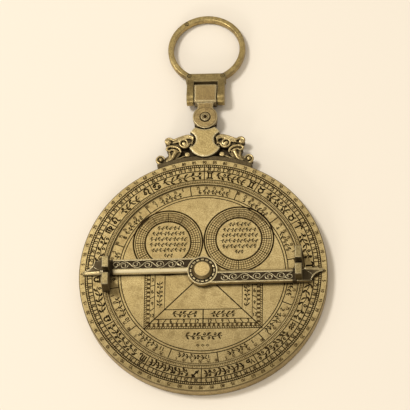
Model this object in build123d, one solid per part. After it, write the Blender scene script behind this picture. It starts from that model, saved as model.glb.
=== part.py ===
from build123d import *
import math
import os

os.makedirs("parts", exist_ok=True)

# Disc, lying on its front: z is 0 at the rim's front face. Shapes are drawn about the disc's
# centre, and saved about the middle of the whole object's length.
PLATE_R = 62.5
PLATE_T = 7.3
BACK_T = 1.8
RIM_CHAMFER = 0.35
CALENDAR_MARGIN = 13.9
CALENDAR_SINK = 0.8
LIMB_WIDTH = 9.0
DOWEL_R = 1.0
DOWEL_LENGTH = 2.6
DOWEL_COUNT = 6
DOWEL_ANGLE = 20.0

# Clearances shared by all running and seated parts
RUN_GAP = 0.05
FACE_GAP = 0.1
SEAT_GAP = 0.12

# Stack in the womb, from the back plate down to the wedge
TYMPAN_T = 0.7
RETE_T = 0.9
RULE_T = 0.7
WASHER_T = 0.3
WEDGE_T = 1.0
WEDGE_WIDTH = 1.8
WEDGE_LENGTH = 9.0
WEDGE_HEAD = 3.6
WASHER_R = 5.5
KEY_WIDTH = 2.4
KEY_REACH = 1.6

# Central pin with its conical head
PIN_R = 2.5
PIN_END_T = 0.7
HEAD_R = 5.0
HEAD_TOP_R = 3.8
HEAD_T = 1.9
HEAD_LIP = 0.35

# Alidade
ARM_MARGIN = 2.2
ARM_WIDTH = 6.7
ARM_T = 3.1
ARM_EDGE = 0.5
BEVEL_WIDTH = 1.5
BEVEL_EDGE = 1.0
ALIDADE_TURN = 0.5
TIP_LENGTH = 9.8
TIP_DROP = 1.7
HUB_R = 7.6
HUB_BORDER = 0.7
HUB_SINK = 0.6
DASH_COUNT = 16
DASH_WIDTH = 1.5
DASH_LENGTH = 0.85
DASH_T = 0.4
PANEL_SINK = 0.5
PANEL_BORDER = 0.7
PANEL_MARGIN = 2.15
OGEE_R = 6.5
OGEE_DX = 0.2
OGEE_Y = 7.5

# Sight vanes
VANE_MARGIN = 12.15
VANE_T = 3.4
VANE_TOP = 17.9
VANE_ARM_SIDE = 6.0
VANE_FREE_SIDE = 9.2
VANE_SLOT = 3.1
SLOT_SHIFT = 0.2
VANE_SLOT_DEPTH = 6.2
VANE_CHAMFER = 0.3
TENON_T = 2.0
TENON_LOW = 2.4
TENON_HIGH = 5.0

# Throne, measured from the rim at the top of the disc
THRONE_Z = 2.3
FOOT_DEPTH = 2.2
FOOT_TOP = 6.9
FOOT_ANGLE = 22.2
LUG_R = 6.0
LUG_TOP = 5.2
TONGUE_HALF = 5.0
NECK_HALF = 5.35
NECK_RISE = 17.8
SWIVEL_RISE = 23.9
SHIELD_TOP = 8.1
SHIELD_RISE = 9.9
SHIELD_R = 8.5
SHIELD_CHAMFER = 0.3
BITE_X = 9.1
BITE_RISE = 11.0
BITE_R = 4.5
CUSP_HIGH = (8.6, 14.3)
CUSP_TOP = (5.35, 18.0)
TOP_BITE_R = 9.5
TOP_BITE_RISE = 16.9
SHIELD_GAP = 0.35
RIVET_R = 0.9
RIVET_RISE_LOW = 6.0
RIVET_RISE_HIGH = 13.0
FOOT_PIN_R = 0.8
FOOT_PIN_DEPTH = 2.0
FOOT_PIN_ANGLE = 12.0

# Scrolls of the throne, right half, measured from the same point
SCROLL_TOP = 6.9
RELIEF_TOP = 7.7
RELIEF_WIDTH = 0.75
HEAD_OUTLINE = ((5.0, 14.6), (7.9, 14.2), (11.0, 13.6), (13.6, 12.9), (15.8, 11.8), (18.2, 11.6), (19.2, 10.4),
                (17.6, 9.6), (15.6, 9.0), (14.6, 7.8), (12.6, 7.2), (10.6, 6.9), (8.2, 7.4), (5.0, 7.6))
JAW_OUTLINE = ((14.2, 8.1), (17.3, 8.2), (19.7, 7.8), (19.9, 6.2), (19.2, 4.6), (19.0, 3.2), (20.6, 2.2),
               (22.4, 1.2), (21.8, -1.6), (19.4, -2.3), (17.4, -1.3), (15.6, 0.0), (14.1, 1.6), (13.0, 3.0),
               (11.9, 4.4), (12.7, 6.0))
SNOUT = (18.7, 10.8, 2.0)
VOLUTE = (22.3, 0.2, 2.5)
BEAD = (8.9, 2.6, 1.4)
EYE = (10.7, 9.6, 2.3)
BROW_LINE = ((8.0, 12.9), (10.8, 12.8), (13.4, 12.0), (15.6, 11.1), (17.2, 11.0))
JAW_LINE = ((12.4, 4.9), (14.2, 6.6), (16.6, 7.5), (18.9, 7.1))
BODY_LINE = ((17.9, 5.4), (17.4, 2.6), (18.4, 0.2), (20.4, -1.5), (22.3, -1.9))
EYE_TURNS = 2
EYE_ANGLE = 60.0
SNOUT_ANGLE = 200.0
VOLUTE_ANGLE = 250.0
CURL_TURNS = 1.5
BEAD_DOME = 0.6

# Swivel link
BOSS_R = 6.35
BOSS_TOP = 8.0
SWIVEL_WASHER_R = 5.0
SWIVEL_WASHER_T = 0.25
RIVET_SHANK_R = 1.5
RIVET_HEAD_R = 2.3
RIVET_HEAD_T = 0.4
RIVET_TAIL_R = 2.3
RIVET_TAIL_T = 0.5
RIVET_EYE_R = 0.9
LINK_NECK_HALF = 4.0
LINK_NOTCH_R = 1.4
BLOCK_HALF = 5.9
BLOCK_START = 8.4
BLOCK_END = 18.5
BLOCK_LOW = 1.7
BLOCK_TOP = 8.9
BLOCK_CHAMFER = 0.5

# Suspension ring with bar and ears, in the ring's own plane
PIVOT_RISE = 11.9
PIVOT_Z = 5.2
CROSS_PIN_R = 1.5
EAR_IN = 6.2
EAR_OUT = 9.8
EAR_R = 3.7
BAR_START = 9.1
BAR_END = 14.3
BAR_HALF = 10.45
BAR_T = 4.0
RING_R = 20.3
RING_BAND = 3.0
RING_T = 3.6
RING_CENTRE = 29.55
RING_ROUND = 0.7
TABLE_GAP = 0.02

# Rule and rete
RULE_MARGIN = 0.4
RULE_WIDTH = 3.6
RULE_HUB_R = 6.2
RETE_MARGIN = 0.6
RETE_BAND = 2.6
OBLIQUITY = 23.44
ECLIPTIC_BAND = 3.0
RETE_BAR = 2.4
RETE_HUB_R = 6.2
ARC_BAND = 2.2
ARC_START = 205.0
ARC_SIZE = 130.0
POINTER_WIDTH = 2.8
POINTER_BEND = 0.16
POINTER_MIN = 3.0
# Bright stars on the rete: right ascension in hours, declination in degrees
STARS = ((4.6, 16.5), (5.2, -8.2), (6.8, -16.7), (7.7, 5.2), (10.1, 12.0), (14.3, 19.2),
         (18.6, 38.8), (19.8, 8.9), (20.7, 45.3), (1.2, 35.6), (22.0, -5.0))
HOUR_ANGLE = 15.0

# Levels and reaches worked out from the sizes above
CALENDAR_R = PLATE_R - CALENDAR_MARGIN
WOMB_R = PLATE_R - LIMB_WIDTH
RETE_R = WOMB_R - RETE_MARGIN
RULE_REACH = RETE_R - RULE_MARGIN
ARM_LENGTH = PLATE_R - ARM_MARGIN
TIP_START = ARM_LENGTH - TIP_LENGTH
VANE_X = ARM_LENGTH - VANE_MARGIN
PANEL_END = VANE_X - PANEL_MARGIN
BACK_Z = PLATE_T - BACK_T
TYMPAN_Z = BACK_Z - TYMPAN_T
TYMPAN_Z2 = TYMPAN_Z - TYMPAN_T
RETE_Z = TYMPAN_Z2 - FACE_GAP - RETE_T
RULE_Z = RETE_Z - FACE_GAP - RULE_T
WASHER_Z = RULE_Z - FACE_GAP - WASHER_T
WEDGE_Z = WASHER_Z - WEDGE_T
PIN_Z = WEDGE_Z - PIN_END_T
TYMPAN_R = WOMB_R - SEAT_GAP
BORE_R = PIN_R + RUN_GAP
RECESS_Z = PLATE_T - CALENDAR_SINK
ARM_Z = PLATE_T + FACE_GAP
ARM_TOP = ARM_Z + ARM_T
HUB_Z = RECESS_Z + FACE_GAP
SWIVEL_Y = PLATE_R + SWIVEL_RISE
PIVOT_Y = SWIVEL_Y + PIVOT_RISE
BOSS_Z = LUG_TOP + SWIVEL_WASHER_T + 2 * RUN_GAP
RING_TILT = math.degrees(math.asin((PIVOT_Z - RING_T / 2 - TABLE_GAP) / (RING_CENTRE + RING_R)))
RING_FAR = (RING_CENTRE + RING_R) * math.cos(math.radians(RING_TILT))
RING_FAR_EDGE = (RING_T / 2 - RING_ROUND) * math.sin(math.radians(RING_TILT))
FRAME_SHIFT = (PIVOT_Y + RING_FAR + RING_FAR_EDGE - PLATE_R) / 2
EQUATOR_R = (RETE_R - RETE_BAND / 2) * math.tan(math.radians((90 - OBLIQUITY) / 2))
CANCER_R = EQUATOR_R * math.tan(math.radians((90 - OBLIQUITY) / 2))
ECLIPTIC_R = (RETE_R - RETE_BAND / 2 + CANCER_R) / 2
ECLIPTIC_Y = (RETE_R - RETE_BAND / 2 - CANCER_R) / 2


def save(node, shape):
    solids = [Pos(0, -FRAME_SHIFT, 0) * solid for solid in shape.solids()]
    export_step(solids[0] if len(solids) == 1 else Compound(children=solids), "parts/" + node + ".step")


def joined(pieces):
    result = pieces[0]
    for piece in pieces[1:]:
        result = result + piece
    return result


def slab(x_low, x_high, y_low, y_high, z_low, z_high):
    box = Box(x_high - x_low, y_high - y_low, z_high - z_low)
    return Pos((x_low + x_high) / 2, (y_low + y_high) / 2, (z_low + z_high) / 2) * box


def disc(radius, z_low, z_high, x=0, y=0):
    return Pos(x, y, (z_low + z_high) / 2) * Cylinder(radius, z_high - z_low)


def band(outer, inner, z_low, z_high, x=0, y=0):
    return disc(outer, z_low, z_high, x, y) - disc(inner, z_low - 1, z_high + 1, x, y)


def prism(face, z_low, z_high):
    return extrude(Pos(0, 0, z_low) * face, z_high - z_low)


def polygon(points):
    return make_face(Polyline(*points, close=True))


def blob(points):
    return make_face(Spline(*points, periodic=True))


def lifted(points, rise=PLATE_R):
    return [(x, y + rise) for x, y in points]


def polar(radius, angle):
    return radius * math.cos(math.radians(angle)), radius * math.sin(math.radians(angle))


def ring_of(count, radius, start):
    return [polar(radius, start + 360 * i / count) for i in range(count)]


def top_edges(shape, height):
    return [e for e in shape.edges() if abs(e.bounding_box().min.Z - height) < 1e-3
            and abs(e.bounding_box().max.Z - height) < 1e-3]


# The disc and its rim

def dowels():
    places = ring_of(DOWEL_COUNT, (PLATE_R + WOMB_R) / 2, DOWEL_ANGLE)
    return [disc(DOWEL_R, BACK_Z - DOWEL_LENGTH / 2, BACK_Z + BACK_T / 2, x, y) for x, y in places]


def mater_plate():
    plate = disc(PLATE_R, BACK_Z, PLATE_T)
    plate = chamfer(top_edges(plate, PLATE_T), RIM_CHAMFER)
    plate = plate - disc(CALENDAR_R, RECESS_Z, PLATE_T + 1)
    return plate - disc(PIN_R, BACK_Z - 1, PLATE_T + 1) - joined(dowels())


def limb_ring():
    ring = disc(PLATE_R, 0, BACK_Z)
    ring = chamfer(top_edges(ring, 0), RIM_CHAMFER) - disc(WOMB_R, -1, BACK_Z + 1)
    return ring - joined(dowels()) - joined(foot_pins()) - key_block()


def key_block():
    return slab(-KEY_WIDTH / 2, KEY_WIDTH / 2, WOMB_R - KEY_REACH, WOMB_R + KEY_REACH, TYMPAN_Z2, BACK_Z)


def tympan(z_low):
    plate = disc(TYMPAN_R, z_low, z_low + TYMPAN_T) - disc(BORE_R, z_low - 1, BACK_Z + 1)
    notch = slab(-KEY_WIDTH / 2 - SEAT_GAP, KEY_WIDTH / 2 + SEAT_GAP, WOMB_R - KEY_REACH - SEAT_GAP, PLATE_R,
                 z_low - 1, BACK_Z + 1)
    return plate - notch


# The central pin, its wedge and washer

def wedge_slot(gap):
    half = WEDGE_WIDTH / 2 + gap
    return slab(-WEDGE_LENGTH, WEDGE_LENGTH, -half, half, WEDGE_Z - gap, WASHER_Z + gap)


def axis_pin():
    shank = disc(PIN_R, PIN_Z, ARM_TOP + RUN_GAP)
    lip = disc(HEAD_R, ARM_TOP + RUN_GAP, ARM_TOP + RUN_GAP + HEAD_LIP)
    cone_t = HEAD_T - HEAD_LIP
    cone = Pos(0, 0, ARM_TOP + RUN_GAP + HEAD_LIP + cone_t / 2) * Cone(HEAD_R, HEAD_TOP_R, cone_t)
    return shank + lip + cone - wedge_slot(0)


def horse_wedge():
    half = WEDGE_WIDTH / 2
    tail = slab(-WEDGE_LENGTH, WEDGE_LENGTH - WEDGE_HEAD, -half, half, WEDGE_Z, WASHER_Z)
    head = polygon([(WEDGE_LENGTH - WEDGE_HEAD, -half), (WEDGE_LENGTH, -WEDGE_HEAD / 2),
                    (WEDGE_LENGTH, WEDGE_HEAD / 2), (WEDGE_LENGTH - WEDGE_HEAD, half)])
    return tail + prism(head, WEDGE_Z, WASHER_Z)


def front_washer():
    return band(WASHER_R, PIN_R, WASHER_Z, WASHER_Z + WASHER_T)


# The alidade, drawn for the left arm and turned for the right one

def arm_face():
    ogee = (-ARM_LENGTH - OGEE_DX, OGEE_Y)
    reach = math.sqrt(OGEE_R ** 2 - (OGEE_Y - ARM_WIDTH) ** 2)
    high = (ogee[0] + reach, ARM_WIDTH)
    low = (-ARM_LENGTH, OGEE_Y - math.sqrt(OGEE_R ** 2 - OGEE_DX ** 2))
    middle = (ogee[0] + OGEE_R * math.cos(math.pi / 4), OGEE_Y - OGEE_R * math.sin(math.pi / 4))
    edges = [Line((0, -ARM_EDGE), (-ARM_LENGTH, -ARM_EDGE)), Line((-ARM_LENGTH, -ARM_EDGE), low),
             ThreePointArc(low, middle, high), Line(high, (0, ARM_WIDTH)), Line((0, ARM_WIDTH), (0, -ARM_EDGE))]
    return make_face(edges)


def bevel_wedge():
    low = -ARM_EDGE
    profile = Polyline((0, low - 1, ARM_TOP + 1), (0, low - 1, ARM_Z + BEVEL_EDGE), (0, low, ARM_Z + BEVEL_EDGE),
                       (0, low + BEVEL_WIDTH, ARM_TOP), (0, low + BEVEL_WIDTH, ARM_TOP + 1), close=True)
    return extrude(make_face(profile), ARM_LENGTH + 1, dir=(-1, 0, 0))


def tip_wedge():
    profile = Polyline((-TIP_START, -PLATE_R, ARM_TOP), (-ARM_LENGTH - 1, -PLATE_R, ARM_TOP - TIP_DROP),
                       (-ARM_LENGTH - 1, -PLATE_R, ARM_TOP + 1), (-TIP_START, -PLATE_R, ARM_TOP + 1), close=True)
    return extrude(make_face(profile), 2 * PLATE_R, dir=(0, 1, 0))


def arm_panel():
    low = BEVEL_WIDTH - ARM_EDGE + PANEL_BORDER
    high = ARM_WIDTH - PANEL_BORDER
    panel = slab(-PANEL_END, 0, low, high, ARM_TOP - PANEL_SINK, ARM_TOP + 1)
    return panel - disc(HUB_R, ARM_Z, ARM_TOP + 2)


def tenon(grow=0):
    return slab(-VANE_X - TENON_T / 2, -VANE_X + TENON_T / 2, TENON_LOW, TENON_HIGH, ARM_Z, ARM_TOP + grow)


def half_alidade():
    arm = prism(arm_face(), ARM_Z, ARM_TOP) - bevel_wedge() - tip_wedge()
    return arm - arm_panel() - tenon(1)


def hub_dashes():
    middle = HUB_R - HUB_BORDER - HUB_SINK - DASH_LENGTH / 2
    floor = ARM_TOP - HUB_SINK
    dash = slab(middle - DASH_LENGTH / 2, middle + DASH_LENGTH / 2, -DASH_WIDTH / 2, DASH_WIDTH / 2,
                floor - DASH_T, floor + DASH_T)
    return [Rot(0, 0, 360 * i / DASH_COUNT) * dash for i in range(DASH_COUNT)]


def alidade():
    half = half_alidade()
    hub = disc(HUB_R, HUB_Z + CALENDAR_SINK, ARM_TOP) + disc(HEAD_R, HUB_Z, ARM_TOP)
    body = half + Rot(0, 0, 180) * half + hub
    body = body - band(HUB_R - HUB_BORDER, HEAD_R, ARM_TOP - HUB_SINK, ARM_TOP + 1)
    body = body + joined(hub_dashes())
    return Rot(0, 0, ALIDADE_TURN) * (body - disc(BORE_R, 0, ARM_TOP + 1))


def vane():
    low = VANE_X - VANE_T / 2
    high = VANE_X + VANE_T / 2
    above = slab(-high, -low, -VANE_FREE_SIDE, VANE_ARM_SIDE, ARM_TOP, VANE_TOP)
    above = chamfer(top_edges(above, VANE_TOP), VANE_CHAMFER)
    beside = slab(-high, -low, -VANE_FREE_SIDE, -ARM_EDGE, ARM_Z + FACE_GAP, ARM_TOP)
    slot = slab(-high - 1, -low + 1, SLOT_SHIFT - VANE_SLOT, SLOT_SHIFT, VANE_TOP - VANE_SLOT_DEPTH, VANE_TOP + 1)
    return Rot(0, 0, ALIDADE_TURN) * (above + beside + tenon() - slot)


# The throne

def shield_face(grow):
    x, y = 0, SHIELD_RISE + PLATE_R
    right = [(TONGUE_HALF, y)] + [(a + grow, b + grow + PLATE_R) for a, b in (CUSP_HIGH, CUSP_TOP)]
    left = [(-a, b) for a, b in reversed(right)]
    face = Pos(x, y) * Circle(SHIELD_R + grow) + polygon(right + left)
    for side in (-1, 1):
        face = face - Pos(side * BITE_X, BITE_RISE + PLATE_R) * Circle(BITE_R - grow)
    return face - Pos(0, TOP_BITE_RISE + TOP_BITE_R + PLATE_R) * Circle(TOP_BITE_R - grow)


def shield_plate():
    shield = prism(shield_face(0), LUG_TOP, SHIELD_TOP)
    shield = chamfer(top_edges(shield, SHIELD_TOP), SHIELD_CHAMFER)
    return shield - joined(shield_rivets())


def shield_rivets():
    top = (LUG_TOP + SHIELD_TOP) / 2
    return [disc(RIVET_R, THRONE_Z, top, 0, PLATE_R + rise) for rise in (RIVET_RISE_LOW, RIVET_RISE_HIGH)]


def foot_pins():
    middle_z = (THRONE_Z + BACK_Z) / 2
    length = FOOT_DEPTH + FOOT_PIN_DEPTH
    pins = []
    for angle in (90 - FOOT_PIN_ANGLE, 90 + FOOT_PIN_ANGLE):
        x, y = polar(PLATE_R + (FOOT_DEPTH - FOOT_PIN_DEPTH) / 2, angle)
        pins.append(Pos(x, y, middle_z) * Rot(0, 0, angle) * Rot(0, 90, 0) * Cylinder(FOOT_PIN_R, length))
    return pins


def foot_sector():
    far = 2 * PLATE_R
    return polygon([(0, 0), polar(far, 90 - FOOT_ANGLE), polar(far, 90 + FOOT_ANGLE)])


def throne_foot():
    foot = band(PLATE_R + FOOT_DEPTH, PLATE_R, THRONE_Z, FOOT_TOP)
    return foot & prism(foot_sector(), THRONE_Z, FOOT_TOP)


def tongue():
    low = PLATE_R + FOOT_DEPTH / 2
    neck = PLATE_R + NECK_RISE
    side = [(TONGUE_HALF, low), (TONGUE_HALF, neck - NECK_HALF), (NECK_HALF, neck), (LUG_R, SWIVEL_Y)]
    face = polygon(side + [(-x, y) for x, y in reversed(side)]) + Pos(0, SWIVEL_Y) * Circle(LUG_R)
    return prism(face, THRONE_Z, LUG_TOP)


def throne_base():
    base = throne_foot() - prism(shield_face(SHIELD_GAP), LUG_TOP, SHIELD_TOP) + tongue()
    base = base - joined(foot_pins()) - joined(shield_rivets())
    return base - disc(RIVET_SHANK_R, 0, BOSS_TOP, 0, SWIVEL_Y)


def volute_path(x, y, radius, turns, start, hand):
    halves = round(2 * turns)
    step = radius / (halves + 1)
    edges = []
    angle = start
    centre = (x, y)
    for i in range(halves):
        size = radius - i * step
        edges.append(CenterArc(centre, size, angle, hand * 180))
        ux, uy = polar(1, angle + 180)
        centre = (centre[0] + ux * step, centre[1] + uy * step)
        angle = angle + 180
    return edges


def ridge(edges, z_low, z_high):
    face = joined([trace(edge, RELIEF_WIDTH) for edge in edges])
    return prism(face, z_low, z_high)


def curl(place, turns, start, hand):
    x, y, radius = place
    edges = volute_path(x, y + PLATE_R, radius - RELIEF_WIDTH / 2, turns, start, hand)
    return ridge(edges, SCROLL_TOP, RELIEF_TOP)


def scroll_relief():
    curls = [curl(EYE, EYE_TURNS, EYE_ANGLE, 1), curl(SNOUT, CURL_TURNS, SNOUT_ANGLE, -1),
             curl(VOLUTE, CURL_TURNS, VOLUTE_ANGLE, 1)]
    lines = [ridge([Spline(*lifted(line))], SCROLL_TOP, RELIEF_TOP) for line in (BROW_LINE, JAW_LINE, BODY_LINE)]
    x, y, radius = BEAD
    dome = disc(radius - BEAD_DOME, SCROLL_TOP, RELIEF_TOP, x, y + PLATE_R)
    return curls + lines + [dome]


def scroll():
    discs = [Pos(x, y + PLATE_R) * Circle(r) for x, y, r in (SNOUT, VOLUTE, BEAD)]
    face = joined([blob(lifted(HEAD_OUTLINE)), blob(lifted(JAW_OUTLINE))] + discs)
    body = joined([prism(face, THRONE_Z, SCROLL_TOP)] + scroll_relief())
    body = body - disc(PLATE_R + FOOT_DEPTH, 0, SHIELD_TOP)
    body = body - slab(-TONGUE_HALF, TONGUE_HALF, 0, SWIVEL_Y, 0, SHIELD_TOP) - tongue()
    return body - prism(shield_face(SHIELD_GAP), LUG_TOP, SHIELD_TOP)


# The swivel and the suspension ring

def swivel_washer():
    return band(SWIVEL_WASHER_R, RIVET_SHANK_R + RUN_GAP, LUG_TOP + RUN_GAP, LUG_TOP + RUN_GAP + SWIVEL_WASHER_T,
                0, SWIVEL_Y)


def swivel_rivet():
    head_z = BOSS_TOP + RUN_GAP
    shank = disc(RIVET_SHANK_R, THRONE_Z, head_z, 0, SWIVEL_Y)
    head = disc(RIVET_HEAD_R, head_z, head_z + RIVET_HEAD_T, 0, SWIVEL_Y)
    tail = disc(RIVET_TAIL_R, THRONE_Z - RIVET_TAIL_T, THRONE_Z, 0, SWIVEL_Y)
    eye = disc(RIVET_EYE_R, head_z, head_z + 1, 0, SWIVEL_Y)
    return shank + head + tail - eye


def link_neck():
    start = SWIVEL_Y + BLOCK_START
    outer = LINK_NECK_HALF + LINK_NOTCH_R
    low = start - LINK_NOTCH_R
    flare = polygon([(-outer, low), (outer, low), (outer, start + 1), (-outer, start + 1)])
    for side in (-1, 1):
        flare = flare - Pos(side * outer, low) * Circle(LINK_NOTCH_R)
    neck = polygon([(-LINK_NECK_HALF, SWIVEL_Y), (LINK_NECK_HALF, SWIVEL_Y), (LINK_NECK_HALF, start + 1),
                    (-LINK_NECK_HALF, start + 1)])
    return flare + neck + Pos(0, SWIVEL_Y) * Circle(BOSS_R)


def swivel_link():
    block = slab(-BLOCK_HALF, BLOCK_HALF, SWIVEL_Y + BLOCK_START, SWIVEL_Y + BLOCK_END, BLOCK_LOW, BLOCK_TOP)
    block = chamfer(block.edges(), BLOCK_CHAMFER)
    link = block + prism(link_neck(), BOSS_Z, BOSS_TOP)
    bore = Pos(0, PIVOT_Y, PIVOT_Z) * Rot(0, 90, 0) * Cylinder(CROSS_PIN_R + RUN_GAP, 2 * BLOCK_HALF + 1)
    return link - bore - disc(RIVET_SHANK_R + RUN_GAP, 0, BLOCK_TOP, 0, SWIVEL_Y)


def cross_pin():
    return Pos(0, PIVOT_Y, PIVOT_Z) * Rot(0, 90, 0) * Cylinder(CROSS_PIN_R, 2 * EAR_OUT)


def ear_profile():
    lean = math.asin((EAR_R - BAR_T / 2) / BAR_START)
    touch = (EAR_R * math.sin(lean), EAR_R * math.cos(lean))
    points = [(0, touch[0], touch[1]), (0, BAR_START + 1, BAR_T / 2), (0, BAR_START + 1, -BAR_T / 2),
              (0, touch[0], -touch[1])]
    return polygon(points)


def ear(x_low, x_high):
    width = x_high - x_low
    arm = Pos(x_low, 0, 0) * extrude(ear_profile(), width, dir=(1, 0, 0))
    return arm + Pos((x_low + x_high) / 2, 0, 0) * Rot(0, 90, 0) * Cylinder(EAR_R, width)


def suspension_ring():
    half = RING_T / 2
    ring = disc(RING_R, -half, half, 0, RING_CENTRE)
    ring = ring - disc(RING_R - RING_BAND, -RING_T, RING_T, 0, RING_CENTRE)
    ring = fillet(ring.edges().filter_by(GeomType.CIRCLE), RING_ROUND)
    bar = slab(-BAR_HALF, BAR_HALF, BAR_START, BAR_END, -BAR_T / 2, BAR_T / 2)
    bar = chamfer(bar.edges(), BLOCK_CHAMFER)
    body = ring + bar + ear(-EAR_OUT, -EAR_IN) + ear(EAR_IN, EAR_OUT)
    body = body - slab(-EAR_IN, EAR_IN, 0, BAR_START, -RING_T, RING_T)
    body = body - Rot(0, 90, 0) * Cylinder(CROSS_PIN_R, 2 * BAR_HALF + 1)
    return Pos(0, PIVOT_Y, PIVOT_Z) * Rot(-RING_TILT, 0, 0) * body


# The rule and the rete

def rule():
    half = slab(-RULE_REACH, 0, 0, RULE_WIDTH, RULE_Z, RULE_Z + RULE_T)
    body = half + Rot(0, 0, 180) * half + disc(RULE_HUB_R, RULE_Z, RULE_Z + RULE_T)
    return (body & disc(RULE_REACH, 0, PLATE_T)) - disc(BORE_R, 0, PLATE_T)


def star_place(hours, declination):
    radius = EQUATOR_R * math.tan(math.radians((90 - declination) / 2))
    return polar(radius, hours * HOUR_ANGLE)


def pointer_root(x, y):
    dx, dy = x, y - ECLIPTIC_Y
    span = math.hypot(dx, dy)
    ecliptic_mid = ECLIPTIC_R - ECLIPTIC_BAND / 2
    on_ecliptic = (dx * ecliptic_mid / span, ECLIPTIC_Y + dy * ecliptic_mid / span)
    rim_mid = RETE_R - RETE_BAND / 2
    on_rim = (x * rim_mid / math.hypot(x, y), y * rim_mid / math.hypot(x, y))
    near_ecliptic = abs(span - ecliptic_mid)
    near_rim = abs(rim_mid - math.hypot(x, y))
    return on_ecliptic if near_ecliptic < near_rim else on_rim


def pointer(star):
    tip = star_place(*star)
    root = pointer_root(*tip)
    dx, dy = tip[0] - root[0], tip[1] - root[1]
    span = math.hypot(dx, dy)
    if span < POINTER_MIN:
        return None
    nx, ny = -dy / span, dx / span
    half = POINTER_WIDTH / 2
    left = (root[0] + nx * half, root[1] + ny * half)
    right = (root[0] - nx * half, root[1] - ny * half)
    bend = POINTER_BEND * span
    mid_l = ((left[0] + tip[0]) / 2 + nx * bend, (left[1] + tip[1]) / 2 + ny * bend)
    mid_r = ((right[0] + tip[0]) / 2 + nx * bend, (right[1] + tip[1]) / 2 + ny * bend)
    edges = [ThreePointArc(left, mid_l, tip), ThreePointArc(tip, mid_r, right), Line(right, left)]
    return make_face(edges)


def rete_arc():
    ring = band(EQUATOR_R + ARC_BAND / 2, EQUATOR_R - ARC_BAND / 2, RETE_Z, RETE_Z + RETE_T)
    far = 2 * RETE_R
    sector = polygon([(0, 0), polar(far, ARC_START), polar(far, ARC_START + ARC_SIZE / 2),
                      polar(far, ARC_START + ARC_SIZE)])
    return ring & prism(sector, RETE_Z, RETE_Z + RETE_T)


def rete():
    top = RETE_Z + RETE_T
    rim_in = RETE_R - RETE_BAND
    rim = band(RETE_R, rim_in, RETE_Z, top)
    ecliptic = band(ECLIPTIC_R, ECLIPTIC_R - ECLIPTIC_BAND, RETE_Z, top, 0, ECLIPTIC_Y)
    left = slab(-rim_in - RETE_BAND / 2, 0, 0, RETE_BAR, RETE_Z, top)
    right = slab(0, rim_in + RETE_BAND / 2, -RETE_BAR, 0, RETE_Z, top)
    stem = slab(-RETE_BAR / 2, RETE_BAR / 2, -rim_in - RETE_BAND / 2, 0, RETE_Z, top)
    pointers = [prism(face, RETE_Z, top) for face in map(pointer, STARS) if face is not None]
    frame = [rim, ecliptic, left, right, stem, rete_arc(), disc(RETE_HUB_R, RETE_Z, top)]
    return joined(frame + pointers) - disc(BORE_R, 0, PLATE_T)


def build():
    save("mater_plate", mater_plate())
    save("limb_ring", limb_ring())
    save("limb_dowels", Compound(children=dowels()))
    save("tympan_rear", tympan(TYMPAN_Z))
    save("tympan_front", tympan(TYMPAN_Z2))
    save("tympan_key", key_block())
    save("axis_pin", axis_pin())
    save("horse_wedge", horse_wedge())
    save("front_washer", front_washer())
    save("alidade", alidade())
    save("vane_left", vane())
    save("vane_right", Rot(0, 0, 180) * vane())
    save("shield_plate", shield_plate())
    save("shield_rivets", Compound(children=shield_rivets()))
    save("throne_pins", Compound(children=foot_pins()))
    save("throne_base", throne_base())
    right = scroll()
    save("scroll_right", right)
    save("scroll_left", mirror(right, about=Plane.YZ))
    save("swivel_washer", swivel_washer())
    save("swivel_rivet", swivel_rivet())
    save("swivel_link", swivel_link())
    save("cross_pin", cross_pin())
    save("suspension_ring", suspension_ring())
    save("rule", rule())
    save("rete", rete())


build()
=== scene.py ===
import bpy
import math
import random
import numpy as np
from mathutils import Matrix, Vector


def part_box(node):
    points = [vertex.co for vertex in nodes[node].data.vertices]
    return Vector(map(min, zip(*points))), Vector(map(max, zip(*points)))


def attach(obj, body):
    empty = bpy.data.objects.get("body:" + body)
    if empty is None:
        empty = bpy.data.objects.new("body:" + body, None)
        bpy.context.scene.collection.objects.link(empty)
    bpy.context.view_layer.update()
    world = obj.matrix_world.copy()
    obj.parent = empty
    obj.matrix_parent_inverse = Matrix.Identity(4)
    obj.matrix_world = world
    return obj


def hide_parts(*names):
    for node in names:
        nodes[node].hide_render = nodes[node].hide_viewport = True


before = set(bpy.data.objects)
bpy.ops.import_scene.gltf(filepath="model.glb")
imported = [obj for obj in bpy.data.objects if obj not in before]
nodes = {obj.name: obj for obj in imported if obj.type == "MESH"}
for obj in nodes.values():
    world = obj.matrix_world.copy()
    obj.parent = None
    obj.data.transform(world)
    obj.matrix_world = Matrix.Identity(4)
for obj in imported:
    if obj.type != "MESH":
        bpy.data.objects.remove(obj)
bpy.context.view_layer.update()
mm = 0.001

plateLow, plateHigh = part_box("mater_plate")
discX = (plateLow.x + plateHigh.x) / 2 / mm
discY = (plateLow.y + plateHigh.y) / 2 / mm
faceZ = plateHigh.z / mm
discR = (plateHigh.x - plateLow.x) / 2 / mm
calendarZ = faceZ - 0.8
print("frame loaded, disc centre", round(discX, 3), round(discY, 3), "radius", round(discR, 2))


# mesh helpers: everything is drawn in mm about the disc's centre

def polar(radius, degrees):
    return radius * math.cos(math.radians(degrees)), radius * math.sin(math.radians(degrees))


def makeObject(name, verts, faces, material, body, smooth=False):
    mesh = bpy.data.meshes.new(name)
    scaled = (np.asarray(verts, float) + (discX, discY, 0)) * mm
    mesh.from_pydata(scaled.tolist(), [], faces)
    mesh.update()
    if smooth:
        mesh.polygons.foreach_set("use_smooth", [True] * len(mesh.polygons))
    mesh.materials.append(material)
    piece = bpy.data.objects.new(name, mesh)
    bpy.context.scene.collection.objects.link(piece)
    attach(piece, body)
    return piece


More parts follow.
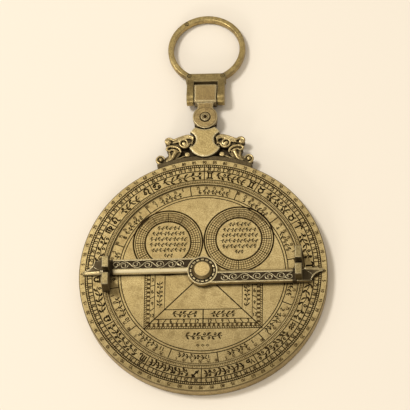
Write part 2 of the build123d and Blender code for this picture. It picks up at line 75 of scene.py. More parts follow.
def sideVectors(points, closed=False):  # unit vectors square to a path, one at each point
    if closed:
        before, after = np.roll(points, 1, 0), np.roll(points, -1, 0)
    else:
        before, after = np.vstack([points[0], points[:-1]]), np.vstack([points[1:], points[-1]])
    run = after - before
    size = np.maximum(np.hypot(run[:, 0], run[:, 1]), 1e-9)
    return np.stack([-run[:, 1] / size, run[:, 0] / size], 1)


class Strokes:  # flat dark strips that lie on a face, as the filled grooves of an engraving
    def __init__(self, z, lift=0.012):
        self.z = z + lift
        self.verts = []
        self.faces = []

    def line(self, points, width, closed=False, lift=0.0):
        p = np.asarray(points, float)
        if len(p) < 2:
            return
        normal = sideVectors(p, closed)
        half = np.asarray(width, float).reshape(-1, 1) / 2 * np.ones((len(p), 1))
        left, right = p + normal * half, p - normal * half
        start = len(self.verts)
        for a, b in zip(left, right):
            self.verts.append((a[0], a[1], self.z + lift))
            self.verts.append((b[0], b[1], self.z + lift))
        count = len(p)
        for i in range(count if closed else count - 1):
            j = (i + 1) % count
            self.faces.append((start + 2 * i, start + 2 * i + 1, start + 2 * j + 1, start + 2 * j))

    def ring(self, radius, width, start=0.0, end=360.0, cx=0.0, cy=0.0, step=1.5):
        full = abs(end - start) >= 360
        count = max(8, int(abs(end - start) / step))
        angles = [start + (end - start) * i / count for i in range(count if full else count + 1)]
        self.line([(cx + polar(radius, a)[0], cy + polar(radius, a)[1]) for a in angles], width, full)

    def radial(self, degrees, low, high, width, cx=0.0, cy=0.0):
        a, b = polar(low, degrees), polar(high, degrees)
        self.line([(cx + a[0], cy + a[1]), (cx + b[0], cy + b[1])], width, lift=0.004)

    def glyph(self, strokes, radius, degrees, height, width, cx=0.0, cy=0.0, stretch=1.0):
        # strokes in a unit frame: x to the right, y up from the base line; up is outward
        turn = math.radians(degrees - 90)
        c, s = math.cos(turn), math.sin(turn)
        ox, oy = polar(radius, degrees)
        for stroke in strokes:
            q = np.asarray(stroke, float) * (height * stretch, height)
            x = cx + ox + q[:, 0] * c - q[:, 1] * s
            y = cy + oy + q[:, 0] * s + q[:, 1] * c
            self.line(np.stack([x, y], 1), width, lift=0.006)

    def make(self, name, material, body="mater", slot="plate_brass"):
        return makeObject(name, self.verts, self.faces, material, body)


def arc(cx, cy, rx, ry, start, end, count=9):
    out = []
    for i in range(count):
        a = math.radians(start + (end - start) * i / (count - 1))
        out.append((cx + rx * math.cos(a), cy + ry * math.sin(a)))
    return out


digitStrokes = {  # cell 0.62 wide and 1 high, centred on the base line
    "0": [arc(0, 0.5, 0.24, 0.48, 0, 360, 13)],
    "1": [[(-0.12, 0.78), (0.04, 0.98), (0.04, 0.0)]],
    "2": [arc(0, 0.72, 0.23, 0.26, 165, -25, 8) + [(-0.25, 0.02), (0.26, 0.02)]],
    "3": [arc(-0.02, 0.74, 0.22, 0.24, 150, -90, 8), arc(-0.02, 0.27, 0.25, 0.25, 90, -150, 8)],
    "4": [[(0.12, 0.0), (0.12, 0.98), (-0.26, 0.3), (0.28, 0.3)]],
    "5": [[(0.22, 0.98), (-0.16, 0.98), (-0.2, 0.58)] + arc(0, 0.32, 0.25, 0.3, 120, -145, 8)],
    "6": [[(0.16, 0.98)] + arc(0.02, 0.5, 0.26, 0.46, 110, 190, 5) + arc(0, 0.27, 0.24, 0.27, 180, 530, 11)],
    "7": [[(-0.24, 0.96), (0.25, 0.96), (-0.04, 0.0)]],
    "8": [arc(0, 0.75, 0.19, 0.22, 0, 360, 10), arc(0, 0.27, 0.24, 0.26, 0, 360, 11)],
    "9": [arc(0, 0.71, 0.23, 0.26, 0, 360, 10) + [(0.2, 0.5), (-0.08, 0.0)]],
}


def numberStrokes(value, gap=0.66):
    text = str(value)
    out = []
    for i, c in enumerate(text):
        dx = (i - (len(text) - 1) / 2) * gap
        out += [[(x + dx, y) for x, y in stroke] for stroke in digitStrokes[c]]
    return out


signStrokes = [  # twelve traditional signs, in a cell from -0.5 to 0.5 and 0 to 1
    [arc(-0.22, 0.78, 0.22, 0.2, 200, 0, 7) + [(0, 0.0)], arc(0.22, 0.78, 0.22, 0.2, -20, 180, 7) + [(0, 0.0)]],
    [arc(0, 0.33, 0.3, 0.32, 0, 360, 12), arc(0, 1.0, 0.34, 0.36, 190, 350, 9)],
    [[(-0.18, 0.1), (-0.18, 0.9)], [(0.18, 0.1), (0.18, 0.9)], arc(0, 1.3, 0.55, 0.42, 225, 315, 7),
     arc(0, -0.3, 0.55, 0.42, 135, 45, 7)],
    [arc(-0.26, 0.66, 0.15, 0.15, 0, 360, 9), arc(0, 0.6, 0.42, 0.34, 165, 20, 8),
     arc(0.26, 0.34, 0.15, 0.15, 0, 360, 9), arc(0, 0.4, 0.42, 0.34, 345, 200, 8)],
    [arc(-0.24, 0.36, 0.14, 0.15, 0, 360, 9), arc(0.0, 0.68, 0.26, 0.3, 215, -20, 9) + [(0.14, 0.2)]
     + arc(0.28, 0.14, 0.13, 0.13, 190, 330, 5)],
    [[(-0.45, 0.9), (-0.36, 0.78), (-0.36, 0.1)], arc(-0.23, 0.74, 0.13, 0.2, 180, 0, 6) + [(-0.1, 0.1)],
     arc(0.03, 0.74, 0.13, 0.2, 180, 0, 6) + [(0.16, 0.15), (0.34, -0.05)],
     arc(0.24, 0.56, 0.18, 0.18, 130, -60, 7) + [(0.05, 0.05)]],
    [[(-0.42, 0.08), (0.42, 0.08)], [(-0.42, 0.32), (-0.14, 0.32)] + arc(0, 0.58, 0.26, 0.28, 235, -55, 9)
     + [(0.14, 0.32), (0.42, 0.32)]],
    [[(-0.45, 0.9), (-0.36, 0.78), (-0.36, 0.1)], arc(-0.23, 0.74, 0.13, 0.2, 180, 0, 6) + [(-0.1, 0.1)],
     arc(0.03, 0.74, 0.13, 0.2, 180, 0, 6) + [(0.16, 0.12), (0.3, 0.02), (0.46, 0.22)],
     [(0.34, 0.24), (0.47, 0.24), (0.46, 0.08)]],
    [[(-0.36, 0.05), (0.34, 0.9)], [(0.0, 0.92), (0.36, 0.94), (0.38, 0.58)], [(-0.3, 0.5), (0.02, 0.18)]],
    [[(-0.42, 0.88), (-0.2, 0.2), (-0.02, 0.86), (0.06, 0.3)] + arc(0.22, 0.26, 0.17, 0.18, 170, -150, 9)
     + [(0.0, -0.04)]],
    [[(-0.44, 0.52), (-0.26, 0.74), (-0.1, 0.52), (0.08, 0.74), (0.24, 0.52), (0.44, 0.74)],
     [(-0.44, 0.18), (-0.26, 0.4), (-0.1, 0.18), (0.08, 0.4), (0.24, 0.18), (0.44, 0.4)]],
    [arc(-0.56, 0.5, 0.32, 0.52, 70, -70, 9), arc(0.56, 0.5, 0.32, 0.52, 110, 250, 9), [(-0.38, 0.5), (0.38, 0.5)]],
]


def leafStroke(x0, y0, x1, y1, bow, wide, count=7):  # a tapered stroke from a stem to a leaf's point
    points, widths = [], []
    for i in range(count):
        t = i / (count - 1)
        b = bow * math.sin(math.pi * t)
        points.append((x0 + (x1 - x0) * t - (y1 - y0) * b, y0 + (y1 - y0) * t + (x1 - x0) * b))
        widths.append(wide * (0.3 + 0.7 * math.sin(math.pi * (0.06 + 0.88 * t)) ** 0.8))
    return points, widths


def branch(length, height, units, thick, seed):  # engraved trailing stem with leaves, curls and berries
    rng = random.Random(seed)
    step = length / units
    stem = [(-length / 2 + step * i / 6, height * (0.5 + 0.12 * math.sin(math.pi * i / 6)))
            for i in range(units * 6 + 1)]
    out = [(stem, thick * 0.42)]
    for k in range(units):
        x, up = -length / 2 + step * (k + 0.5), 1 if k % 2 == 0 else -1
        middle = height * (0.5 + 0.12 * up)
        kind = rng.choice((0, 0, 1, 2))
        tall = height * (0.46 + 0.08 * rng.random())
        if kind < 2:
            out.append(leafStroke(x - 0.3 * step, middle, x + 0.25 * step, height * 0.5 + up * tall, 0.2 * up, thick))
        if kind == 0:
            out.append(leafStroke(x - 0.12 * step, middle, x + 0.42 * step, height * 0.5 - up * tall * 0.9,
                                  -0.16 * up, thick * 0.85))
        elif kind == 1:
            curl = []
            for j in range(10):
                shrink, a = (0.3 - 0.026 * j) * step, j * 0.7 - 2
                curl.append((x + 0.05 * step + shrink * math.cos(a),
                             height * 0.5 - up * tall * 0.5 + up * shrink * math.sin(a)))
            out.append((curl, thick * 0.6))
        else:
            for side in (up, -up):
                tip = (x + 0.22 * step, height * 0.5 + side * tall * 0.7)
                out.append(([(x - 0.2 * step, middle), (x + 0.1 * step, height * 0.5 + side * tall * 0.35), tip],
                            thick * 0.42))
                out.append((arc(tip[0], tip[1], thick * 0.42, thick * 0.42, 0, 360, 9), thick * 0.6))
    return out


def wrapped(points, radius, degrees):  # bends a flat line round the disc: x runs clockwise, y outward
    out = []
    for x, y in points:
        a = degrees - math.degrees(x / radius)
        out.append(polar(radius + y, a))
    return out


# materials

def newMaterial(name):
    material = bpy.data.materials.new(name)
    material.use_nodes = True
    tree = material.node_tree
    shader = tree.nodes["Principled BSDF"]
    return material, tree, shader


def mathNode(tree, kind, a, b=None, c=None):
    node = tree.nodes.new("ShaderNodeMath")
    node.operation = kind
    for i, value in enumerate((a, b, c)):
        if value is None:
            continue
        if isinstance(value, (int, float)):
            node.inputs[i].default_value = value
        else:
            tree.links.new(value, node.inputs[i])
    return node.outputs[0]


def product(tree, a, b):
    return mathNode(tree, "MULTIPLY", a, b)


def largest(tree, a, b):
    return mathNode(tree, "MAXIMUM", a, b)


def inverse(tree, value):
    return mathNode(tree, "SUBTRACT", 1.0, value)


def absolute(tree, value):
    return mathNode(tree, "ABSOLUTE", value)


def smoothBetween(tree, value, low, high):
    node = tree.nodes.new("ShaderNodeMapRange")
    node.interpolation_type = "SMOOTHSTEP"
    tree.links.new(value, node.inputs["Value"])
    node.inputs["From Min"].default_value = low
    node.inputs["From Max"].default_value = high
    return node.outputs["Result"]


def mixColour(tree, factor, a, b, blend="MIX"):
    node = tree.nodes.new("ShaderNodeMix")
    node.data_type = "RGBA"
    node.blend_type = blend
    if isinstance(factor, (int, float)):
        node.inputs["Factor"].default_value = factor
    else:
        tree.links.new(factor, node.inputs["Factor"])
    for key, value in (("A", a), ("B", b)):
        socket = [s for s in node.inputs if s.name == key and s.type == "RGBA"][0]
        if isinstance(value, tuple):
            socket.default_value = (*value, 1)
        else:
            tree.links.new(value, socket)
    return [s for s in node.outputs if s.type == "RGBA"][0]


def noise(tree, coords, scale, detail=4.0, rough=0.55):
    node = tree.nodes.new("ShaderNodeTexNoise")
    node.inputs["Scale"].default_value = scale
    node.inputs["Detail"].default_value = detail
    node.inputs["Roughness"].default_value = rough
    tree.links.new(coords, node.inputs["Vector"])
    return node.outputs["Fac"]


# edge is the light colour painted on edges, partly rubbed wear and partly painted highlight
brassLook = {
    "plate": {"base": (0.424, 0.314, 0.130), "dark": (0.228, 0.154, 0.055), "bright": (0.523, 0.400, 0.182),
              "edge": (0.60, 0.47, 0.23), "edgeRound": 0.5, "patinaAndShadeInHollows": 0.7, "rough": 0.45, "grain": 0.5},
    "rim": {"base": (0.412, 0.307, 0.133), "dark": (0.205, 0.142, 0.057), "bright": (0.553, 0.424, 0.197),
            "edge": (0.62, 0.50, 0.25), "edgeRound": 0.5, "patinaAndShadeInHollows": 0.8, "rough": 0.42, "grain": 0.4},
    "cast": {"base": (0.418, 0.302, 0.122), "dark": (0.110, 0.072, 0.031), "bright": (0.696, 0.534, 0.249),
             "edge": (0.72, 0.58, 0.31), "edgeRound": 0.5, "patinaAndShadeInHollows": 0.97, "rough": 0.34, "grain": 0.55},
    "fitting": {"base": (0.339, 0.237, 0.093), "dark": (0.132, 0.081, 0.034), "bright": (0.465, 0.339, 0.144),
                "edge": (0.85, 0.72, 0.42), "edgeRound": 1.3, "patinaAndShadeInHollows": 0.95, "rough": 0.36, "grain": 0.5},
    "ring": {"base": (0.432, 0.313, 0.113), "dark": (0.156, 0.098, 0.036), "bright": (0.599, 0.452, 0.186),
             "edge": (0.66, 0.54, 0.29), "edgeRound": 0.7, "patinaAndShadeInHollows": 0.9, "rough": 0.36, "grain": 0.6},
    "shield": {"base": (0.458, 0.335, 0.132), "dark": (0.247, 0.170, 0.061), "bright": (0.555, 0.419, 0.177),
               "edge": (1.0, 0.88, 0.56), "edgeRound": 1.3, "patinaAndShadeInHollows": 0.9, "rough": 0.40, "grain": 0.4},
    "knob": {"base": (0.481, 0.350, 0.144), "dark": (0.287, 0.196, 0.076), "bright": (0.575, 0.431, 0.194),
             "edge": (0.72, 0.58, 0.32), "edgeRound": 0.4, "patinaAndShadeInHollows": 0.8, "rough": 0.42, "grain": 0.4},
    "arm": {"base": (0.432, 0.335, 0.162), "dark": (0.210, 0.147, 0.058), "bright": (0.648, 0.529, 0.281),
            "edge": (0.86, 0.74, 0.47), "edgeRound": 0.5, "patinaAndShadeInHollows": 0.95, "rough": 0.34, "grain": 0.5},
    # the vanes' brass is darker than the arm's, as painted shade on their dim tops
    "vane": {"base": (0.284, 0.216, 0.091), "dark": (0.125, 0.088, 0.035), "bright": (0.383, 0.298, 0.135),
             "edge": (0.66, 0.56, 0.34), "edgeRound": 0.6, "patinaAndShadeInHollows": 0.95, "rough": 0.38, "grain": 0.5},
}
patinaAndShadeColour = (0.045, 0.030, 0.014)


def brass(name, look, darkMask=None, highlightMask=None):
    material, tree, shader = newMaterial(name)
    coords = tree.nodes.new("ShaderNodeTexCoord").outputs["Object"]
    split = tree.nodes.new("ShaderNodeSeparateXYZ")
    tree.links.new(coords, split.inputs[0])
    normal = tree.nodes.new("ShaderNodeNewGeometry").outputs["Normal"]
    axis = {"x": split.outputs[0], "y": split.outputs[1], "z": split.outputs[2], "normal": normal,
            "coords": coords}
    cloud = noise(tree, coords, 38, 5, 0.6)
    blotch = noise(tree, coords, 260, 6, 0.62)
    speck = noise(tree, coords, 1700, 3, 0.65)
    colour = mixColour(tree, smoothBetween(tree, cloud, 0.3, 0.72), look["base"], look["bright"])
    stain = product(tree, smoothBetween(tree, blotch, 0.44, 0.74), 0.6)
    colour = mixColour(tree, stain, colour, look["dark"])
    fine = product(tree, smoothBetween(tree, speck, 0.42, 0.62), 0.66)
    colour = mixColour(tree, fine, colour, look["dark"])
    # edges are painted in the light edge colour: partly rubbed wear, partly painted highlight
    round_ = tree.nodes.new("ShaderNodeBevel")
    round_.samples = 4
    round_.inputs["Radius"].default_value = look["edgeRound"] * mm
    facing = tree.nodes.new("ShaderNodeVectorMath")
    facing.operation = "DOT_PRODUCT"
    tree.links.new(round_.outputs["Normal"], facing.inputs[0])
    tree.links.new(normal, facing.inputs[1])
    edge = smoothBetween(tree, inverse(tree, facing.outputs["Value"]), 0.004, 0.09)
    # ambient occlusion darkens hollows and the surface beside raised parts toward the patina colour: patina in the
    # hollows, painted contact shade beside the parts
    near = tree.nodes.new("ShaderNodeAmbientOcclusion")
    near.samples = 5
    near.inputs["Distance"].default_value = 0.0024
    clear = smoothBetween(tree, near.outputs["AO"], 0.3, 0.9)
    worn = product(tree, product(tree, edge, clear), 0.85)
    colour = mixColour(tree, worn, colour, look["edge"])
    hollowPatinaAndShade = product(tree, inverse(tree, clear), look["patinaAndShadeInHollows"])
    colour = mixColour(tree, hollowPatinaAndShade, colour, patinaAndShadeColour)
    rough = mathNode(tree, "MULTIPLY_ADD", blotch, 0.22, look["rough"] - 0.08)
    # painted highlight in the edge colour where the highlight mask says
    if highlightMask:
        colour = mixColour(tree, highlightMask(tree, axis), colour, look["edge"])
    # each part's mask paints patina, and on most parts painted shade, in the same dark colour
    if darkMask:
        mask = darkMask(tree, axis)
        colour = mixColour(tree, mask, colour, patinaAndShadeColour)
        rough = mathNode(tree, "MULTIPLY_ADD", mask, 0.25, rough)
    tree.links.new(colour, shader.inputs["Base Color"])
    tree.links.new(rough, shader.inputs["Roughness"])
    shader.inputs["Metallic"].default_value = 0.88
    bump = tree.nodes.new("ShaderNodeBump")
    bump.inputs["Strength"].default_value = look["grain"]
    bump.inputs["Distance"].default_value = 0.00006
    height = mathNode(tree, "MULTIPLY_ADD", speck, 0.6, product(tree, blotch, 1.2))
    tree.links.new(height, bump.inputs["Height"])
    tree.links.new(round_.outputs["Normal"], bump.inputs["Normal"])
    tree.links.new(bump.outputs["Normal"], shader.inputs["Normal"])
    return material


def engravedMaterial(name, colour, light, scale=420):
    material, tree, shader = newMaterial(name)
    coords = tree.nodes.new("ShaderNodeTexCoord").outputs["Object"]
    worn = noise(tree, coords, scale, 5, 0.6)
    mixed = mixColour(tree, smoothBetween(tree, worn, 0.45, 0.75), colour, light)
    tree.links.new(mixed, shader.inputs["Base Color"])
    shader.inputs["Roughness"].default_value = 0.8
    shader.inputs["Specular IOR Level"].default_value = 0.06
    bump = tree.nodes.new("ShaderNodeBump")
    bump.inputs["Strength"].default_value = 0.4
    bump.inputs["Distance"].default_value = 0.00003
    tree.links.new(worn, bump.inputs["Height"])
    tree.links.new(bump.outputs["Normal"], shader.inputs["Normal"])
    return material


def radiusFromDisc(tree, axis):
    x, dy = axis["x"], mathNode(tree, "SUBTRACT", axis["y"], discY * mm)
    return mathNode(tree, "SQRT", mathNode(tree, "ADD", product(tree, x, x), product(tree, dy, dy)))


def upNormal(tree, axis):
    split = tree.nodes.new("ShaderNodeSeparateXYZ")
    tree.links.new(axis["normal"], split.inputs[0])
    return split.outputs[2]


def upFacing(tree, axis, low=0.75, high=0.9):
    return smoothBetween(tree, upNormal(tree, axis), low, high)


def plateMask(tree, axis):  # painted shade at the foot of the calendar's step and in a band just outside it, and painted shade darkening toward the bottom; the rim's chamfer is darker too
    radius = radiusFromDisc(tree, axis)
    rim = smoothBetween(tree, radius, (discR - 0.42) * mm, (discR - 0.3) * mm)
    rim = product(tree, rim, smoothBetween(tree, axis["z"], (faceZ - 0.5) * mm, (faceZ - 0.25) * mm))
    near = smoothBetween(tree, radius, 46.9 * mm, 48.5 * mm)
    step = product(tree, near, mathNode(tree, "LESS_THAN", axis["z"], (faceZ - 0.04) * mm))
    step = product(tree, step, mathNode(tree, "LESS_THAN", radius, 48.75 * mm))
    step = product(tree, step, 0.3)
    band = product(tree, smoothBetween(tree, radius, 48.4 * mm, 49.2 * mm),
                   inverse(tree, smoothBetween(tree, radius, 50.4 * mm, 51.5 * mm)))
    step = largest(tree, step, product(tree, band, 0.24))
    # painted shade: the plate darkens toward the bottom
    south = inverse(tree, smoothBetween(tree, axis["y"], (discY - 62) * mm, (discY + 10) * mm))
    step = largest(tree, step, product(tree, south, 0.4))
    return largest(tree, product(tree, rim, 0.8), step)


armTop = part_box("alidade")[1].z / mm


def alidadeMask(tree, axis):  # panel and groove floors are filled with patina; the sunk faces of the tips, the low walls by the plate and the arm beside each vane are darkened as painted shade
    away = absolute(tree, axis["x"])
    floor = mathNode(tree, "LESS_THAN", axis["z"], (armTop - 0.32) * mm)
    above = mathNode(tree, "GREATER_THAN", axis["z"], (armTop - 0.8) * mm)
    near = mathNode(tree, "LESS_THAN", away, 46.6 * mm)
    flat = product(tree, product(tree, floor, product(tree, above, near)), upFacing(tree, axis))
    # painted shade on the sunk faces of the tips, lighter toward the points
    tip = product(tree, smoothBetween(tree, away, 49.6 * mm, 50.4 * mm), upFacing(tree, axis))
    fade = inverse(tree, smoothBetween(tree, away, 53.5 * mm, 59.0 * mm))
    tip = product(tree, tip, mathNode(tree, "MULTIPLY_ADD", fade, 0.25, 0.68))
    # painted shade on the low walls by the plate, and painted shadow on the arm beside each vane
    low = inverse(tree, smoothBetween(tree, axis["z"], (faceZ + 0.1) * mm, (faceZ + 1.3) * mm))
    vaneShadow = product(tree, smoothBetween(tree, away, 44.6 * mm, 45.4 * mm),
                   mathNode(tree, "LESS_THAN", away, 47.2 * mm))
    low = largest(tree, product(tree, low, 0.75), product(tree, vaneShadow, 0.94))
    return largest(tree, largest(tree, flat, tip), low)


def bevelMask(tree, axis):  # painted highlight: the upper part of the fiducial bevel is given the bright edge colour
    up = upNormal(tree, axis)
    slope = product(tree, smoothBetween(tree, up, 0.3, 0.5), inverse(tree, smoothBetween(tree, up, 0.9, 0.97)))
    return product(tree, slope, smoothBetween(tree, axis["z"], (armTop - 1.7) * mm, (armTop - 0.9) * mm))


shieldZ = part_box("shield_plate")[1].z / mm


def throneMask(tree, axis):  # the castings are darkened below the stalks' tops: patina and painted shade in the deep openings between the stalks
    return product(tree, inverse(tree, smoothBetween(tree, axis["z"], 4.8 * mm, 6.9 * mm)), 0.96)


# painted shade: the foot under the scrollwork is nearly black, a little lighter toward its top
def footMask(tree, axis):
    return mathNode(tree, "MULTIPLY_ADD", smoothBetween(tree, axis["z"], 3.0 * mm, 6.6 * mm), -0.1, 0.96)


def vaneMask(tree, axis):  # painted shade: the slot's floor, the foot of the vane and its side walls are darker
    floor = inverse(tree, smoothBetween(tree, axis["z"], (vaneTop - 6.4) * mm, (vaneTop - 3.4) * mm))
    dy = absolute(tree, mathNode(tree, "SUBTRACT", axis["y"], discY * mm))
    inSlot = mathNode(tree, "LESS_THAN", dy, 3.4 * mm)
    deep = inverse(tree, smoothBetween(tree, axis["z"], (faceZ + 0.5) * mm, (faceZ + 6.0) * mm))
    side = product(tree, inverse(tree, upFacing(tree, axis)), 0.5)
    return largest(tree, product(tree, floor, product(tree, inSlot, 0.9)),
                   largest(tree, product(tree, deep, 0.6), side))


def knobMask(tree, axis):  # painted shade: the cone's sides under the bright top, and its foot, are darker
    side = inverse(tree, upFacing(tree, axis, 0.9, 0.98))
    lip = mathNode(tree, "GREATER_THAN", radiusFromDisc(tree, axis), 4.4 * mm)
    return product(tree, largest(tree, side, lip), 0.55)


def linkMask(tree, axis):  # painted shade: lower parts and walls of the hinge are darker than its top faces
    deep = inverse(tree, smoothBetween(tree, axis["z"], 2.4 * mm, 5.6 * mm))
    side = product(tree, inverse(tree, upFacing(tree, axis, 0.3, 0.8)), 0.4)
    return largest(tree, product(tree, deep, 0.85), side)


def ringMask(tree, axis):  # the bar and ears of the ring are browner than its hoop
    top = discY + discR
    low = inverse(tree, smoothBetween(tree, axis["y"], (top + 49.2) * mm, (top + 52.5) * mm))
    ears = smoothBetween(tree, axis["y"], (top + 38.0) * mm, (top + 45.0) * mm)
    patch = smoothBetween(tree, noise(tree, axis["coords"], 150, 3, 0.5), 0.5, 0.72)
    brown = mathNode(tree, "MULTIPLY_ADD", product(tree, low, ears), 0.3, product(tree, low, 0.12))
    return largest(tree, brown, product(tree, patch, 0.38))


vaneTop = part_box("vane_left")[1].z / mm
plateBrass = brass("platebrass", brassLook["plate"], plateMask)
rimBrass = brass("rimbrass", brassLook["rim"])
innerBrass = brass("innerbrass", brassLook["plate"])
alidadeBrass = brass("alidadebrass", brassLook["arm"], alidadeMask, bevelMask)
vineBrass = brass("vinebrass", brassLook["arm"])
castBrass = brass("castbrass", brassLook["cast"], throneMask)
footBrass = brass("footbrass", brassLook["cast"], footMask)
fittingBrass = brass("fittingbrass", brassLook["fitting"])
shieldBrass = brass("shieldbrass", brassLook["shield"])
knobBrass = brass("knobbrass", brassLook["knob"], knobMask)
vaneBrass = brass("vanebrass", brassLook["vane"], vaneMask)
linkBrass = brass("linkbrass", brassLook["fitting"], linkMask)
ringBrass = brass("ringbrass", brassLook["ring"], ringMask)
engraved = engravedMaterial("engraved", (0.016, 0.009, 0.0025), (0.06, 0.036, 0.011))
engravedFaint = engravedMaterial("engravedfaint", (0.05, 0.029, 0.009), (0.15, 0.1, 0.038))

materialOf = {
    "mater_plate": plateBrass, "limb_ring": rimBrass, "limb_dowels": rimBrass, "tympan_rear": innerBrass,
    "tympan_front": innerBrass, "tympan_key": rimBrass, "alidade": alidadeBrass, "throne_base": footBrass,
    "shield_plate": shieldBrass, "axis_pin": knobBrass, "vane_left": vaneBrass, "vane_right": vaneBrass,
    "swivel_link": linkBrass, "suspension_ring": ringBrass,
    "scroll_left": castBrass, "scroll_right": castBrass, "rete": innerBrass, "throne_pins": rimBrass,
}
for name, node in nodes.items():
    node.data.materials.clear()
    node.data.materials.append(materialOf.get(name, fittingBrass))
print("materials set on", len(nodes), "nodes")


# scales of the back, outer rings

scaleSettings = {  # radii and widths in mm; a number has its base radius, height and width
    "rings": ((59.3, 0.56), (58.15, 0.56), (55.8, 0.56), (50.95, 0.46), (49.3, 0.34)),
    "degreeTick": (58.3, 59.2, 0.42), "cellLine": (55.85, 58.3), "outerTick": 59.3, "innerTick": 49.5,
    "degreeNumber": (60.05, 1.5, 0.42), "cellNumber": (56.35, 1.45, 0.42), "signHeight": 3.7,
    "signBase": 51.5,
}


def outerScales():
    c = scaleSettings
    s = Strokes(faceZ)
    faint = Strokes(faceZ)
    for radius, width in c["rings"]:
        s.ring(radius, width)
    for degree in range(360):
        s.radial(degree, *c["degreeTick"])
        if degree % 5 == 0:
            long = degree % 10 == 0
            s.radial(degree, *c["cellLine"], 0.56 if long else 0.48)
            faint.radial(degree, c["outerTick"], 59.75 if long else 59.6, 0.3)
            quadrant = degree % 180
            value = quadrant if quadrant <= 90 else 180 - quadrant
            radius, height, width = c["degreeNumber"]
            faint.glyph(numberStrokes(value, 0.7), radius, degree, height, width)
            inSign = degree % 30 or 30
            radius, height, width = c["cellNumber"]
            s.glyph(numberStrokes(inSign, 0.72), radius, degree - 2.5, height, width)
        faint.radial(degree, c["innerTick"], 50.3 if degree % 5 else 50.9, 0.32)
    return s, faint


signs, faintSigns = outerScales()
signs.make("scale_rings", engraved)
faintSigns.make("degree_numbers", engravedFaint)


signSettings = {
    "leaves": (5, 6, 6, 6, 3, 5, 5, 7, 11, 9, 8, 6),  # leaf pairs in each sector
    "line": (50.95, 55.85, 0.5), "width": 0.8, "stretch": 1.18, "first": 3.2, "last": 26.9, "leaf": 1.05,
}


def signRing():  # a sector with few leaves has its sign at both ends, as in the photo
    c = signSettings
    s = Strokes(faceZ)
    base, height = scaleSettings["signBase"], scaleSettings["signHeight"]
    for k, leaves in enumerate(c["leaves"]):
        start = 30.0 * k
        s.radial(start, *c["line"])
        s.glyph(signStrokes[k], base + 0.15, start + c["last"], height * 0.98, c["width"], stretch=c["stretch"])
        span, centre = 21.8, start + 12.2
        if leaves <= 6 and k not in (3, 11):
            s.glyph(signStrokes[k], base + 0.15, start + c["first"], height * 0.98, c["width"], stretch=c["stretch"])
            span, centre = 10.5 + leaves, start + 15.1
        length = math.radians(span) * base
        for stroke, wide in branch(length, height * 0.98, max(4, leaves), c["leaf"], 40 + k):
            s.line(wrapped(stroke, base, centre), wide, lift=0.006)
    return s


signRing().make("sign_ring", engraved)
print("outer scales drawn")


# calendar plate

calendarSettings = {"dayStart": -79.9, "rings": ((48.3, 0.3), (42.75, 0.5), (41.4, 0.48)),
                    "monthLine": (42.7, 47.9, 0.5), "dayTick": (47.75, 47.2, 48.3, 0.34), "numberBase": 46.05,
                    "monthBase": 43.6}
monthDays = (31, 28, 31, 30, 31, 30, 31, 31, 30, 31, 30, 31)


def calendar():
    c = calendarSettings
    s = Strokes(calendarZ)
    faint = Strokes(calendarZ)
    for radius, width in c["rings"]:
        s.ring(radius, width)
    angle = c["dayStart"]
    day = 360.0 / 365
    short, long, outer, thin = c["dayTick"]
    for month, days in enumerate(monthDays):
        s.radial(angle, *c["monthLine"])
        for d in range(days):
            at = angle + d * day
            faint.radial(at, short if d % 5 else long, outer, thin)
            if d % 5 == 0 and d:
                faint.glyph(numberStrokes(d, 0.72), c["numberBase"], at, 1.3, 0.38)
        middle = angle + days * day / 2
        base = c["monthBase"]
        for stroke, wide in branch(11.2 + (month % 3), 2.3, 5 + month % 3, 0.74, 11 + month):
            s.line(wrapped(stroke, base - 0.2, middle - 1.6), wide, lift=0.006)
        s.glyph(numberStrokes(month + 1, 0.7), base - 0.05, middle + 8.9, 2.0, 0.5)
        angle += days * day
    return s, faint


months, monthNumbers = calendar()
months.make("calendar_rings", engraved)
monthNumbers.make("calendar_numbers", engravedFaint)

tableSettings = {"left": (-17.95, 16.75), "right": (17.9, 18.3), "outer": 17.5, "inner": 11.6, "border": 1.05,
                 "rows": 3, "parts": 72, "lines": 6}


def tableCircle(cx, cy, seed):
    c = tableSettings
    s = Strokes(calendarZ)
    faint = Strokes(calendarZ)
    outer, inner, rows, parts = c["outer"], c["inner"], c["rows"], c["parts"]
    edge = outer - c["border"]
    s.ring(outer, 0.85, cx=cx, cy=cy)
    s.ring(edge, 0.4, cx=cx, cy=cy)
    s.ring(inner, 0.85, cx=cx, cy=cy)
    for k in range(1, rows + 1):
        faint.ring(inner + (edge - inner) * k / (rows + 1), 0.34, cx=cx, cy=cy)
    rng = random.Random(seed)
    for k in range(parts):
        a = 90 + k * 360 / parts
        heavy = k % 6 == 0
        (s if heavy else faint).radial(a, inner, edge, 0.42 if heavy else 0.3, cx, cy)
        for row in range(rows + 1 if min(k, parts - 1 - k) < 10 else 0):  # figures in the upper cells
            radius = inner + (edge - inner) * (row + 0.2) / (rows + 1)
            value = rng.randint(1, 9)
            x, y = polar(radius, a + 180 / parts)
            turn = math.radians(a + 180 / parts - 90)
            for stroke in digitStrokes[str(value)]:
                q = np.asarray(stroke) * 0.78
                px = cx + x + q[:, 0] * math.cos(turn) - q[:, 1] * math.sin(turn)
                py = cy + y + q[:, 0] * math.sin(turn) + q[:, 1] * math.cos(turn)
                faint.line(np.stack([px, py], 1), 0.16)
    lines = c["lines"]
    for k in range(lines):
        y = cy + (inner - 2.6) * (1 - 2 * (k + 0.35) / lines)
        half = math.sqrt(max(4.0, (inner - 1.5) ** 2 - (y - cy) ** 2)) - 0.4
        if k == lines - 1:
            half = min(half, 2.2)
        for stroke, wide in branch(2 * half, 1.85, max(3, int(half * 1.1)), 0.6, seed + k):
            s.line([(cx + px + 0.25 * py, y + py - 0.8) for px, py in stroke], wide, lift=0.006)
    return s, faint


for side in ("left", "right"):
    strong, light = tableCircle(*tableSettings[side], 5 if side == "left" else 9)
    strong.make("table_" + side, engraved)
    light.make("table_cells_" + side, engravedFaint)


squareSettings = {"outer": 29.5, "hatch": 28.4, "blocks": 26.75, "band": 24.45, "label": 19.4, "parts": 12,
                  "shift": 0.4}


